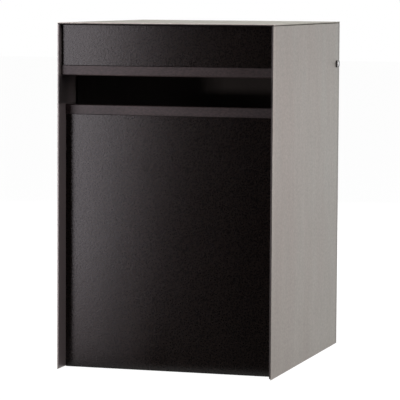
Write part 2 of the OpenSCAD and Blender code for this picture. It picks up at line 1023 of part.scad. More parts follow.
module hinge_pins() {
    color(steel)
        for (zc = hinge_zs) {
            bar_z(pin_d, hinge_x, hinge_y, zc - hinge_l / 2, zc + hinge_l / 2 + eps / 2);
            bar_z(
                pin_d + 2 * pin_rim, hinge_x, hinge_y,
                zc + hinge_l / 2, zc + hinge_l / 2 + pin_head_h
            );
        }
}

// Folded pull on the back of the door
module door_pull() {
    z0 = lock_z - pull_l / 2;
    z1 = lock_z + pull_l / 2;
    color(black)
        difference() {
            union() {
                block([pull_x - pull_w, door_face, z0], [pull_x, door_face + sheet_t, z1]);
                block([pull_x - sheet_t, door_face, z0], [pull_x, door_face + pull_reach, z1]);
            }
            for (p = door_rivets_at)
                bar_y(screw_d + 2 * hole_fit, p[0], door_face - eps, door_face + sheet_t + eps, p[1]);
        }
}

// Rubber discs on the flange that stops the door
module door_buffers() {
    color(rubber)
        for (x = buffer_xs)
            bar_y(
                door_buffer_d, x, stop_y + sheet_t, stop_y + sheet_t + door_buffer_t,
                door_head - door_buffer_d * 0.2
            );
}

// Lock barrel with its bright head
module lock_housing() {
    x0 = body_w / 2;
    color(steel)
        difference() {
            union() {
                bar_x(lock_barrel_d, barrel_end, x0 + eps, lock_y, lock_z);
                bar_x(lock_head_d, x0, x0 + lock_head_h * 0.75, lock_y, lock_z);
                bar_x(lock_head_d - 2 * lock_step, x0, x0 + lock_head_h, lock_y, lock_z);
            }
            bar_x(
                lock_plug_d + 2 * run_fit, barrel_end - eps, x0 + lock_head_h + eps, lock_y, lock_z
            );
        }
}

// Six-sided nut on the inside of the wall
module lock_nut() {
    color(steel)
        difference() {
            translate([xi - lock_nut_t, lock_y, lock_z])
                rotate([0, 90, 0])
                    cylinder(d = lock_nut_w / cos(30), h = lock_nut_t, $fn = 6);
            bar_x(lock_barrel_d + 2 * seat_fit, xi - lock_nut_t - eps, xi + eps, lock_y, lock_z);
        }
}

// Plug that the key turns, square where it drives the cam
module lock_plug() {
    x1 = body_w / 2 + lock_head_h - plug_set;
    color(steel)
        difference() {
            union() {
                bar_x(lock_plug_d, barrel_end, x1, lock_y, lock_z);
                block(
                    [cam_x, lock_y - cam_square / 2, lock_z - cam_square / 2],
                    [barrel_end + eps, lock_y + cam_square / 2, lock_z + cam_square / 2]
                );
            }
            block(
                [x1 - key_depth, lock_y - key_w / 2, lock_z - key_h / 2],
                [x1 + eps, lock_y + key_w / 2, lock_z + key_h / 2]
            );
            bar_x(
                cam_screw_d + 2 * hole_fit, cam_x - eps, cam_x + cam_screw_l + eps, lock_y, lock_z
            );
        }
}

// Cam, shown unlocked: it points to the rear
module lock_cam() {
    color(zinc)
        difference() {
            union() {
                bar_x(cam_w, cam_x, cam_x + cam_t, lock_y, lock_z);
                block(
                    [cam_x, lock_y, lock_z - cam_w / 2],
                    [cam_x + cam_t, lock_y + cam_l, lock_z + cam_w / 2]
                );
            }
            block(
                [
                    cam_x - eps,
                    lock_y - cam_square / 2 - seat_fit,
                    lock_z - cam_square / 2 - seat_fit
                ],
                [
                    cam_x + cam_t + eps,
                    lock_y + cam_square / 2 + seat_fit,
                    lock_z + cam_square / 2 + seat_fit
                ]
            );
        }
}

module cam_screw() {
    color(steel) {
        bar_x(cam_square * 1.6, cam_x - cam_screw_head_h, cam_x, lock_y, lock_z);
        bar_x(cam_screw_d, cam_x - eps, cam_x + cam_screw_l, lock_y, lock_z);
    }
}

// Keeper on the door: base, arm and the tab that the cam holds
module lock_keeper() {
    back = door_face - sheet_t;
    color(zinc)
        difference() {
            union() {
                block(
                    [keeper_x - keeper_base, back - keeper_t, keeper_z],
                    [keeper_x, back, keeper_z + keeper_h]
                );
                block(
                    [keeper_x - keeper_t, keeper_y, keeper_z],
                    [keeper_x, back, keeper_z + keeper_h]
                );
                block(
                    [keeper_x - keeper_t, keeper_y, keeper_z],
                    [cam_x + cam_t + keeper_over, keeper_y + keeper_t, keeper_z + keeper_h]
                );
            }
            for (p = door_rivets_at)
                bar_y(screw_d + 2 * hole_fit, p[0], back - keeper_t - eps, back + eps, p[1]);
        }
}

module fascia_screws() {
    color(zinc)
        wall_screws(fascia_points);
}

module panel_screws() {
    color(zinc)
        wall_screws(concat(panel_points, chute_points));
}

module bracket_screws() {
    color(zinc)
        wall_screws(concat(flap_points, arm_points));
}

module frame_rivets() {
    color(zinc)
        wall_screws(concat(top_points, pan_points));
}

// Rivets through the door: two hold the pull and two hold the keeper
module door_rivets() {
    color(zinc)
        for (p = door_rivets_at) {
            outer = p[2] == keeper_t ? door_face : door_face + sheet_t;
            inner = door_face - sheet_t - (p[2] == keeper_t ? keeper_t : 0);
            bar_y(screw_head_d, p[0], outer, outer + rivet_h, p[1]);
            bar_y(screw_d, p[0], inner - eps, outer + eps, p[1]);
            bar_y(screw_head_d, p[0], inner - rivet_h, inner, p[1]);
        }
}

left_liner();
right_liner();
left_cladding();
right_cladding();
top_liner();
top_cladding();
base_pan();
fascia();
upper_trim();
front_panel();
lower_trim();
chute();
flap_brackets();
flap_bushes();
flap_stops();
flap_plate();
flap_rod();
guide_rods();
rod_feet();
rod_brackets();
rod_buffers();
spring_seats();
left_spring();
right_spring();
platform_tray();
platform_mat();
carriages();
carriage_bushes();
carriage_bolts();
rear_door();
frame_hinges();
door_hinges();
hinge_pins();
door_pull();
door_buffers();
lock_housing();
lock_nut();
lock_plug();
lock_cam();
cam_screw();
lock_keeper();
fascia_screws();
panel_screws();
bracket_screws();
frame_rivets();
door_rivets();
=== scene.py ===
"""Looks of the book drop box: coats, folded sheets, lock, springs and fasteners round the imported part."""

import json
import math

import bmesh
import bpy
from mathutils import Matrix, Quaternion, Vector


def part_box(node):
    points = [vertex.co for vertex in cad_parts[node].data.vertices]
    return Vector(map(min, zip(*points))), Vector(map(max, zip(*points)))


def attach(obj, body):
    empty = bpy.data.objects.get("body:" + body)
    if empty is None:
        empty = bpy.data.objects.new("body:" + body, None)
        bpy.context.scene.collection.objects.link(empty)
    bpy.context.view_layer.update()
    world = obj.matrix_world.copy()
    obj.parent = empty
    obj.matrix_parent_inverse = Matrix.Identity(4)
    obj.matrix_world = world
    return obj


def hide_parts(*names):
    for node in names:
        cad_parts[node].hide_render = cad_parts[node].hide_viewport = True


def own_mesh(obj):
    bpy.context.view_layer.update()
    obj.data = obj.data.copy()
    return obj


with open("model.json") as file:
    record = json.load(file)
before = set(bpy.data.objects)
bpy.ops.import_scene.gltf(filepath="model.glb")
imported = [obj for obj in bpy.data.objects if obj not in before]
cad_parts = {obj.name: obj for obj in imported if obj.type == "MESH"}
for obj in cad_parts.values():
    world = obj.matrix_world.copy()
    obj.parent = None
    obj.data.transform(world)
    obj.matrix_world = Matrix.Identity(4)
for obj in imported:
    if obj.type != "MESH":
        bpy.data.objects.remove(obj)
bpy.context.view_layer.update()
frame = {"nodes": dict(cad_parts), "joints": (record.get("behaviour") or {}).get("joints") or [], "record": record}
BODY_OF = {node: body for body, nodes in frame["record"]["behaviour"]["bodies"].items() for node in nodes}
BLACK, WHITE = (0, 0, 0, 1), (1, 1, 1, 1)
WELD = 1e-6
FLAT = math.radians(0.4)
SHARP = math.radians(28)
CREASE, TURNED_CREASE = math.radians(40), math.radians(32)

bl_info = {
    "name": "Book drop box",
    "version": (1, 0, 0),
    "blender": (4, 5, 0),
    "location": "View3D > Sidebar > Book drop",
    "description": "Builds the finished looks of a book drop box round its solids",
    "category": "Object",
}


# Sizes and colours


def number_property(name, description, default, **kind):
    """A number that a user may change, with its unit or subtype."""
    return bpy.props.FloatProperty(name=name, description=description, default=default, **kind)


class BookDropSizes(bpy.types.PropertyGroup):
    """Sizes of what the solids leave plain."""

    bend: number_property("Bend", "Rounding of a folded sheet", 0.0006, unit="LENGTH")
    cut: number_property("Cut edge", "Rounding of small metal pieces", 0.0003, unit="LENGTH")
    soft: number_property("Soft edge", "Rounding of rubber pieces", 0.0012, unit="LENGTH")
    top_lip: number_property(
        "Top lip", "Depth of the black lip under the top sheet's front", 0.003, unit="LENGTH"
    )
    # Height of the black strip that paints the shadow line along a trim.
    seal: number_property("Seal", "Height of the seal along a trim", 0.0016, unit="LENGTH")
    rib_pitch: number_property("Rib pitch", "Spacing of the mat's ribs", 0.0125, unit="LENGTH")
    rib_width: number_property("Rib width", "Width of a rib of the mat", 0.006, unit="LENGTH")
    mat_base: number_property("Mat base", "Thickness of the mat under its ribs", 0.0016, unit="LENGTH")
    wire: number_property("Wire", "Diameter of the spring wire", 0.0035, unit="LENGTH")
    turns: bpy.props.IntProperty(name="Turns", description="Working turns of a spring", default=18)
    head_wide: number_property("Head width", "Diameter of a screw head", 0.009, unit="LENGTH")
    head_high: number_property("Head height", "Height of a screw head", 0.0026, unit="LENGTH")
    rivet_high: number_property(
        "Rivet height", "Height of a rivet head on the door", 0.0014, unit="LENGTH"
    )
    shank: number_property("Shank", "Diameter of a screw or rivet", 0.005, unit="LENGTH")


def colour_property(name, description, default):
    """A colour that a user may change."""
    return bpy.props.FloatVectorProperty(
        name=name, description=description, default=default, size=3, subtype="COLOR", min=0, max=1
    )


class BookDropColours(bpy.types.PropertyGroup):
    """Colours of the finishes."""

    black: colour_property("Black coat", "Fine textured black coat", (0.0083, 0.0055, 0.0047))
    matt: colour_property("Matt black", "Dull coat of the flap and the chute", (0.0380, 0.0326, 0.0316))
    liner: colour_property("Liner black", "Smooth black coat of the walls", (0.108, 0.0890, 0.0910))
    trim: colour_property("Trim black", "Black edge profiles of the slot", (0.0275, 0.0174, 0.0176))
    grey: colour_property("Grey coat", "Warm silver grey coat", (0.400, 0.374, 0.350))
    chrome: colour_property("Chrome", "Bright lock parts", (0.80, 0.80, 0.82))
    dark_chrome: colour_property("Dark chrome", "Black plated collar of the lock", (0.018, 0.017, 0.017))
    satin_chrome: colour_property("Satin chrome", "Dull face of the lock", (0.15, 0.148, 0.145))
    steel: colour_property("Steel", "Ground steel", (0.56, 0.56, 0.57))
    dark_steel: colour_property("Dark steel", "Blackened steel of the hinges", (0.15, 0.148, 0.145))
    zinc: colour_property("Zinc", "Zinc plated steel", (0.50, 0.51, 0.53))
    nylon: colour_property("Nylon", "Natural nylon", (0.72, 0.70, 0.64))
    rubber: colour_property("Rubber", "Black rubber", (0.018, 0.018, 0.018))
    floor: colour_property("Floor", "Pale studio floor", (0.25, 0.25, 0.25))


class BookDropStudio(bpy.types.PropertyGroup):
    """Camera and lamps."""

    lens: number_property("Lens", "Focal length in millimetres", 219.6)
    yaw: number_property(
        "Yaw", "Turn of the camera to the right front", math.radians(16.854), subtype="ANGLE"
    )
    pitch: number_property("Pitch", "Tilt of the camera downwards", math.radians(4.937), subtype="ANGLE")
    roll: number_property("Roll", "Roll of the camera", math.radians(0.347), subtype="ANGLE")
    side_power: number_property("Side light", "Right side light in watts", 151.0)
    top_power: number_property("Top light", "Overhead light in watts", 26.0)
    card_power: number_property("Left card", "Front left card in watts", 64.0)
    low_power: number_property("Low light", "Low left light in watts", 68.0)
    rear_power: number_property("Rear light", "Rear light in watts", 110.0)
    ambient: number_property("Ambient", "Level of the room's light", 0.055)


def sizes():
    return bpy.context.scene.book_drop_sizes


def colours():
    return bpy.context.scene.book_drop_colours


def studio():
    return bpy.context.scene.book_drop_studio


# Shader expressions


class Wire:
    """One output of a shader node, with arithmetic that adds Math nodes."""

    def __init__(self, finish, socket):
        self.finish = finish
        self.socket = socket

    def out(self, name):
        return Wire(self.finish, self.socket.node.outputs[name])

    def math(self, operation, a, b):
        return self.finish.node("ShaderNodeMath", {"operation": operation}, {0: a, 1: b})

    def __add__(self, other):
        return self.math("ADD", self, other)

    def __radd__(self, other):
        return self.math("ADD", other, self)

    def __sub__(self, other):
        return self.math("SUBTRACT", self, other)

    def __rsub__(self, other):
        return self.math("SUBTRACT", other, self)

    def __mul__(self, other):
        return self.math("MULTIPLY", self, other)

    def __rmul__(self, other):
        return self.math("MULTIPLY", other, self)

    def clamped(self):
        return self.finish.node("ShaderNodeMath", {"operation": "ADD", "use_clamp": True}, {0: self, 1: 0.0})


class Finish:
    """The nodes of a material, or of another block such as a world, under construction."""

    def __init__(self, name, blocks=None):
        self.block = (bpy.data.materials if blocks is None else blocks).new(name)
        self.block.use_nodes = True
        self.tree = self.block.node_tree
        self.tree.nodes.clear()

    def node(self, kind, settings=None, values=None):
        """A node with its settings, then the values or links of its sockets. Returns its first output."""
        made = self.tree.nodes.new(kind)
        for key, value in (settings or {}).items():
            if key == "stops":
                ramp = made.color_ramp
                for k, (place, shade) in enumerate(value):
                    stop = ramp.elements[k] if k < 2 else ramp.elements.new(place)
                    stop.position = place
                    stop.color = (shade, shade, shade, 1)
            else:
                setattr(made, key, value)
        for key, value in (values or {}).items():
            if isinstance(value, Wire):
                self.tree.links.new(value.socket, made.inputs[key])
            else:
                made.inputs[key].default_value = value
        return Wire(self, made.outputs[0]) if made.outputs else None

    def place(self, stretch=(1, 1, 1)):
        """Object coordinates, stretched and then tilted, so that no flat face lies along the pattern."""
        coordinates = self.node("ShaderNodeTexCoord").out("Object")
        tilt = (0.45, 0.62, 0.31)
        return self.node(
            "ShaderNodeMapping", {}, {"Vector": coordinates, "Rotation": tilt, "Scale": stretch}
        )

    def noise(self, scale, detail=2.0, rough=0.5, stretch=(1, 1, 1)):
        return self.node(
            "ShaderNodeTexNoise", {},
            {"Vector": self.place(stretch), "Scale": scale, "Detail": detail, "Roughness": rough},
        )

    def cells(self, scale, stretch=(1, 1, 1)):
        return self.node(
            "ShaderNodeTexVoronoi", {"feature": "SMOOTH_F1"}, {"Vector": self.place(stretch), "Scale": scale}
        )

    def ramp(self, value, *stops):
        return self.node("ShaderNodeValToRGB", {"stops": stops}, {"Fac": value})

    def mix(self, share, a, b):
        """Colour a to colour b by share."""
        made = self.tree.nodes.new("ShaderNodeMix")
        made.data_type = "RGBA"
        for socket, value in ((made.inputs[0], share), (made.inputs[6], a), (made.inputs[7], b)):
            if isinstance(value, Wire):
                self.tree.links.new(value.socket, socket)
            else:
                socket.default_value = value
        return Wire(self, made.outputs[2])

    def shade(self, colour, level):
        """A colour made lighter or darker by a level."""
        return self.node("ShaderNodeVectorMath", {"operation": "SCALE"}, {0: colour, "Scale": level})

    def edge(self):
        """One on the rounded edges of a dressed piece, and nought elsewhere."""
        return self.node("ShaderNodeAttribute", {"attribute_name": "edge"}).out("Fac")

    def axis(self, name):
        coordinates = self.node("ShaderNodeTexCoord").out("Object")
        return self.node("ShaderNodeSeparateXYZ", {}, {"Vector": coordinates}).out(name)

    def bump(self, height, strength, distance):
        return self.node(
            "ShaderNodeBump", {}, {"Height": height, "Strength": strength, "Distance": distance}
        )

    def seen(self):
        """One for what the camera, gloss and glass see, and nought for bounced light."""
        path = self.node("ShaderNodeLightPath")
        rays = path.out("Is Camera Ray") + path.out("Is Glossy Ray") + path.out("Is Transmission Ray")
        return rays.clamped()

    def end(self, shader):
        """Ends the material in a shader."""
        self.node("ShaderNodeOutputMaterial", {}, {"Surface": shader})
        return self.block

    def close(self, values):
        """Ends the material in one surface shader."""
        return self.end(self.node("ShaderNodeBsdfPrincipled", {}, values))

    def shine(self, strength, colour=WHITE):
        """Ends the material in a light of its own."""
        return self.end(self.node("ShaderNodeEmission", {}, {"Color": colour, "Strength": strength}))


def rgba(colour, scale=1.0):
    return tuple(min(1.0, c * scale) for c in colour) + (1.0,)


def tinted(colour, red, green, blue):
    return rgba((red * colour[0], green * colour[1], blue * colour[2]))


FINISHES = {}


def finish(name):
    """The finished material of a slot, made once."""
    if name not in FINISHES:
        FINISHES[name] = plated(name) if name in PLATINGS else COATS[name]()
    return FINISHES[name]


def black_coat():
    """Textured black coat: fine grain with pores, faint mottling, light specks and rubbed edges."""
    f = Finish("black_coat")
    tone = colours().black
    grain = 0.75 * f.noise(200.0, 1.0, 0.5, (0.95, 0.95, 1.7)) + 0.25 * f.noise(480.0, 2.0, 0.6)
    patch = f.noise(9.0, 4.0, 0.6)
    specks = f.ramp(f.cells(420.0), (0.02, 1.0), (0.16, 0.0))
    worn = f.edge() * f.ramp(f.noise(60.0, 3.0, 0.6), (0.42, 0.0), (0.62, 1.0))
    pores = f.ramp(f.noise(210.0, 1.0, 0.5), (0.32, 0.0), (0.68, 1.0))
    colour = f.mix(pores, rgba(tone, 0.15), rgba(tone, 1.85))
    colour = f.mix(patch * 0.3, colour, rgba(tone, 1.2))
    colour = f.mix(specks * 0.35, colour, rgba(tone, 2.6))
    colour = f.mix(worn * 0.6, colour, rgba(tone, 4.0))
    rough = 0.165 + 0.03 * patch + 0.03 * grain + 0.10 * worn
    return f.close({
        "Base Color": colour, "Roughness": rough, "Specular IOR Level": 0.2,
        "Normal": f.bump(grain, 0.66, 0.0006),
    })


def matt_coat():
    """Dull sound-deadening coat of the flap and the chute, which swallows the light in the slot."""
    f = Finish("matt_coat")
    tone = colours().matt
    patch = f.noise(14.0, 4.0, 0.6)
    rubbed = f.ramp(f.noise(35.0, 5.0, 0.7, (1, 1, 0.3)), (0.55, 0.0), (0.75, 1.0))
    worn = f.edge() * f.ramp(f.noise(60.0, 3.0, 0.6), (0.4, 0.0), (0.6, 1.0))
    colour = f.mix(patch * 0.5, rgba(tone, 0.8), rgba(tone, 1.3))
    colour = f.mix(rubbed * 0.3, colour, rgba(tone, 1.8))
    colour = f.mix(worn * 0.5, colour, rgba(tone, 4.0))
    rough = 0.72 + 0.08 * patch - 0.06 * rubbed
    return f.close({
        "Base Color": colour, "Roughness": rough, "Specular IOR Level": 0.0,
        "Normal": f.bump(f.noise(600.0, 2.0), 0.1, 0.0003),
    })


def liner_coat():
    """Smooth black coat of the walls, with scuffs; beside the slot it carries painted shade near the front and
    painted light further in.
    """
    f = Finish("liner_coat")
    tone = colours().liner
    patch = f.noise(7.0, 4.0, 0.6)
    scuff = f.ramp(f.noise(40.0, 5.0, 0.7, (1, 1, 6)), (0.56, 0.0), (0.72, 1.0))
    worn = f.edge() * f.ramp(f.noise(45.0, 3.0, 0.6), (0.4, 0.0), (0.62, 1.0))
    colour = f.mix(patch * 0.5, rgba(tone, 0.8), rgba(tone, 1.3))
    colour = f.mix(scuff * 0.3, colour, rgba(tone, 2.0))
    colour = f.mix(worn * 0.5, colour, rgba(tone, 3.5))
    slot_low, slot_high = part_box("lower_trim")[1].z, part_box("upper_trim")[0].z
    soft = 0.004
    # Painted shade and light on the walls beside the slot: a darker strip near the front, paler further in.
    painted_slot_band = f.ramp(
        f.axis("Z"), (slot_low, 0.0), (slot_low + soft, 1.0), (slot_high - soft, 1.0), (slot_high, 0.0)
    )
    slot_shade_and_light = f.ramp(f.axis("Y") + 0.5, (0.155, 0.32), (0.175, 0.55), (0.20, 1.2), (0.235, 2.2))
    colour = f.shade(colour, 1.0 + painted_slot_band * (slot_shade_and_light - 1.0))
    rough = 0.30 + 0.10 * patch + 0.08 * scuff
    return f.close({
        "Base Color": colour, "Roughness": rough, "Normal": f.bump(f.noise(350.0, 2.0), 0.05, 0.0003),
    })


def trim_black():
    """Edge profiles of the slot: smooth, dull, polished where books rub along the nose, with a painted highlight
    along the rounded edges.
    """
    f = Finish("trim_black")
    tone = colours().trim
    rub = f.ramp(f.noise(26.0, 5.0, 0.65, (0.35, 1, 1)), (0.45, 0.0), (0.75, 1.0))
    patch = f.noise(12.0, 3.0)
    fibre = f.ramp(f.noise(170.0, 2.0, 0.6, (0.7, 1, 1.3)), (0.32, 0.0), (0.68, 1.0))
    # Worn edges, with a painted highlight of at least 0.3 along every rounded edge.
    worn = f.edge() * f.ramp(f.noise(18.0, 3.0, 0.6, (0.3, 1, 1)), (0.35, 0.3), (0.6, 1.0))
    colour = f.mix(patch * 0.5, rgba(tone, 0.85), rgba(tone, 1.2))
    colour = f.mix(rub * 0.35, colour, rgba(tone, 1.7))
    colour = f.mix(worn * 0.7, colour, rgba(tone, 3.0))
    colour = f.shade(colour, 0.55 + 0.9 * fibre)
    rough = 0.36 + 0.08 * patch - 0.08 * rub
    return f.close({
        "Base Color": colour, "Roughness": rough, "Specular IOR Level": 0.2,
        "Normal": f.bump(f.noise(500.0, 2.0), 0.05, 0.0003),
    })


def grey_coat():
    """Warm silver grey coat: flecks, peel, faint streaks, darker low down and along the rear edge, dust on top,
    painted highlights along the front edges and the top's front.
    """
    f = Finish("grey_coat")
    tone = colours().grey
    peel = f.noise(520.0, 2.0, 0.55)
    flecks = f.ramp(f.cells(900.0), (0.05, 1.0), (0.22, 0.0))
    streak = f.ramp(f.noise(55.0, 3.0, 0.6, (1, 1, 0.14)), (0.3, 0.0), (0.7, 1.0))
    cloud = f.noise(5.0, 4.0, 0.6)
    worn = f.edge() * f.ramp(f.noise(50.0, 3.0), (0.4, 0.0), (0.6, 1.0))
    mottle = f.ramp(f.noise(125.0, 2.0, 0.6, (1.1, 0.75, 1.25)), (0.3, 0.0), (0.7, 1.0))
    band = f.ramp(f.noise(13.0, 3.0, 0.6, (1, 1, 0.16)), (0.3, 0.0), (0.7, 1.0))
    # Rearwards runs from about nought at the front to about one at the rear.
    rearwards = f.axis("Y") * 1.25 + 0.5
    front, seam = 0.0125, 0.995
    height = f.axis("Z")
    warm, cool = tinted(tone, 1.07, 0.99, 0.985), tinted(tone, 1.01, 1.035, 1.03)
    tint = f.mix((0.7 * band + 0.7 * rearwards - 0.2).clamped(), warm, cool)
    colour = f.mix(flecks * 0.22, tint, rgba(tone, 1.5))
    # Darker and warmer towards the bottom, in clouds.
    low_darkening = f.ramp(height, (0.0, 1.0), (0.6, 0.0)) * (0.3 + 0.5 * cloud)
    colour = f.mix(low_darkening, colour, tinted(tone, 0.68, 0.64, 0.59))
    colour = f.mix(worn * 0.5, colour, rgba(tone, 1.3))
    handled = f.ramp(height, (0.78, 0.0), (0.97, 1.0))
    # Painted highlight along the front edge, stronger higher up.
    rim = f.ramp(rearwards, (front, 1.0), (0.05, 0.0))
    # Darker along the rear edge, in clouds.
    rear_edge_darkening = f.ramp(rearwards, (0.958, 0.0), (0.970, 1.0)) * (0.6 + 0.8 * cloud)
    top = f.ramp(height, (seam - 0.0005, 0.0), (seam + 0.0005, 1.0))
    # The front of the top is free of dust and carries a painted highlight.
    wiped_and_highlit_front = f.ramp(rearwards, (front, 1.0), (0.26, 0.0))
    colour = f.mix(top * (1.0 - wiped_and_highlit_front), colour, tinted(tone, 0.93, 0.94, 0.84))
    level = (0.88 + 0.24 * mottle) * (0.965 + 0.07 * band) * (1.0 - 0.08 * streak)
    level = level * (0.96 + 0.07 * rearwards) * (1.0 - 0.11 * handled) * (1.0 - 0.28 * rear_edge_darkening)
    # Painted highlights: along the front edge, and on the front of the top.
    level = level * (1.0 + (0.08 + 0.32 * height) * rim) * (1.0 + 0.34 * top * wiped_and_highlit_front)
    rough = 0.42 + 0.07 * cloud + 0.05 * peel
    return f.close({
        "Base Color": f.shade(colour, level), "Roughness": rough, "Metallic": flecks * 0.25,
        "Normal": f.bump(peel, 0.10, 0.0004),
    })


# Roughness, how much the lines add to it, and the stretch of the lines.
PLATINGS = {
    "chrome": (0.10, 0.06, (1, 1, 1)),
    "dark_chrome": (0.12, 0.06, (1, 1, 1)),
    "satin_chrome": (0.36, 0.14, (1, 1, 0.2)),
    "steel": (0.24, 0.16, (1, 1, 0.12)),
    "dark_steel": (0.36, 0.14, (1, 1, 0.2)),
    "zinc": (0.34, 0.14, (1, 0.3, 1)),
}


def plated(name):
    """Bare or plated metal with fine lines along one way and a few dull spots."""
    f = Finish(name)
    tone = getattr(colours(), name)
    rough, brushed, stretch = PLATINGS[name]
    lines = f.noise(900.0, 3.0, 0.6, stretch)
    spots = f.ramp(f.noise(90.0, 4.0, 0.6), (0.55, 0.0), (0.75, 1.0))
    colour = f.mix(lines * 0.4, rgba(tone, 0.88), rgba(tone, 1.06))
    colour = f.mix(spots * 0.25, colour, rgba(tone, 0.7))
    dull = rough + brushed * lines + 0.12 * spots
    return f.close({
        "Base Color": colour, "Metallic": 1.0, "Roughness": dull, "Normal": f.bump(lines, 0.06, 0.0002),
    })


def nylon():
    """Milky turned nylon."""
    f = Finish("nylon")
    tone = colours().nylon
    cloud = f.noise(60.0, 3.0)
    rings = f.noise(700.0, 2.0, 0.5, (0.2, 0.2, 1))
    colour = f.mix(cloud * 0.6, rgba(tone, 0.92), rgba(tone, 1.04))
    return f.close({
        "Base Color": colour, "Roughness": 0.38 + 0.1 * rings, "Normal": f.bump(rings, 0.08, 0.0003),
    })


def rubber():
    """Dull black rubber with bloom and dust."""
    f = Finish("rubber")
    tone = colours().rubber
    dust = f.ramp(f.noise(30.0, 5.0, 0.7), (0.4, 0.0), (0.75, 1.0))
    grain = f.noise(1200.0, 2.0)
    colour = f.mix(dust * 0.5, rgba(tone), rgba(tone, 2.4))
    return f.close({
        "Base Color": colour, "Roughness": 0.68 + 0.12 * dust, "Normal": f.bump(grain, 0.15, 0.0003),
    })


COATS = {
    maker.__name__: maker
    for maker in (black_coat, liner_coat, matt_coat, trim_black, grey_coat, nylon, rubber)
}


# Mesh helpers


def settle(piece, nodes, coat):
    """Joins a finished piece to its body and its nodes."""
    piece.data.materials.clear()
    piece.data.materials.append(finish(coat))
    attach(piece, BODY_OF[nodes[0]])
    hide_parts(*nodes)
    return piece


def new_piece(name, mesh):
    piece = bpy.data.objects.new(name, mesh)
    bpy.context.scene.collection.objects.link(piece)
    return piece


def smooth(mesh, angle=CREASE):
    for face in mesh.polygons:
        face.use_smooth = True
    mesh.set_sharp_from_angle(angle=angle)


def piece_from(name, bm, angle=CREASE):
    """A smooth piece of a finished bmesh, which is freed."""
    mesh = bpy.data.meshes.new(name)
    bm.to_mesh(mesh)
    bm.free()
    smooth(mesh, angle)
    return new_piece(name, mesh)


def welded(node):
    """A node's mesh with its doubled points joined."""
    bm = bmesh.new()
    bm.from_mesh(frame["nodes"][node].data)
    bmesh.ops.remove_doubles(bm, verts=bm.verts, dist=WELD)
    return bm


def rounded(name, bm, rounding, rings):
    """A piece with every sharp edge rounded, and marked as edge for the wear."""
    layer = bm.faces.layers.float.new("edge")
    sharp = [e for e in bm.edges if len(e.link_faces) == 2 and e.calc_face_angle(0.0) > SHARP]
    made = bmesh.ops.bevel(
        bm, geom=sharp, offset=rounding, segments=rings, profile=0.5, affect="EDGES", clamp_overlap=True
    )
    for face in made["faces"]:
        face[layer] = 1.0
    bm.normal_update()
    piece = piece_from(name, bm)
    piece.modifiers.new("face normals", "WEIGHTED_NORMAL").keep_sharp = True
    return piece


def dressed(node, coat, rounding, rings=2):
    """A copy of a node with flat faces joined and sharp edges rounded."""
    bm = welded(node)
    bmesh.ops.dissolve_limit(
        bm, angle_limit=FLAT, verts=bm.verts, edges=bm.edges, use_dissolve_boundaries=False
    )
    return settle(rounded(node + "_dressed", bm, rounding, rings), [node], coat)


def dress(coat, rounding, *nodes):
    for node in nodes:
        dressed(node, coat, rounding)


def slab(name, low, high, rounding, rings=2):
    """A rounded block between two corners."""
    bm = bmesh.new()
    bmesh.ops.create_cube(bm, size=1.0)
    for vert in bm.verts:
        for k in range(3):
            vert.co[k] = low[k] if vert.co[k] < 0 else high[k]
    bm.normal_update()
    return rounded(name, bm, rounding, rings)


def islands(node):
    """Boxes of the separate solids of a node."""
    bm = welded(node)
    left = set(bm.verts)
    boxes = []
    while left:
        todo = [left.pop()]
        found = list(todo)
        while todo:
            for edge in todo.pop().link_edges:
                for vert in edge.verts:
                    if vert in left:
                        left.remove(vert)
                        todo.append(vert)
                        found.append(vert)
        low = Vector(min(v.co[k] for v in found) for k in range(3))
        high = Vector(max(v.co[k] for v in found) for k in range(3))
        boxes.append((low, high))
    bm.free()
    return sorted(boxes, key=lambda b: tuple(round(c, 5) for c in b[0]))


def turned(name, profile, place, sides=64):
    """A piece turned about an axis along X. The profile is a closed loop of (x, radius)."""
    bm = bmesh.new()
    loops = []
    for k in range(sides):
        angle = 2 * math.pi * k / sides
        loops.append([
            bm.verts.new((x, place[0] + r * math.cos(angle), place[1] + r * math.sin(angle)))
            for x, r in profile
        ])
    count = len(profile)
    for k in range(sides):
        for j in range(count):
            after = (j + 1) % count
            bm.faces.new((
                loops[k][j], loops[k][after], loops[(k + 1) % sides][after], loops[(k + 1) % sides][j]
            ))
    bmesh.ops.recalc_face_normals(bm, faces=bm.faces)
    return piece_from(name, bm, TURNED_CREASE)


# Geometry Nodes


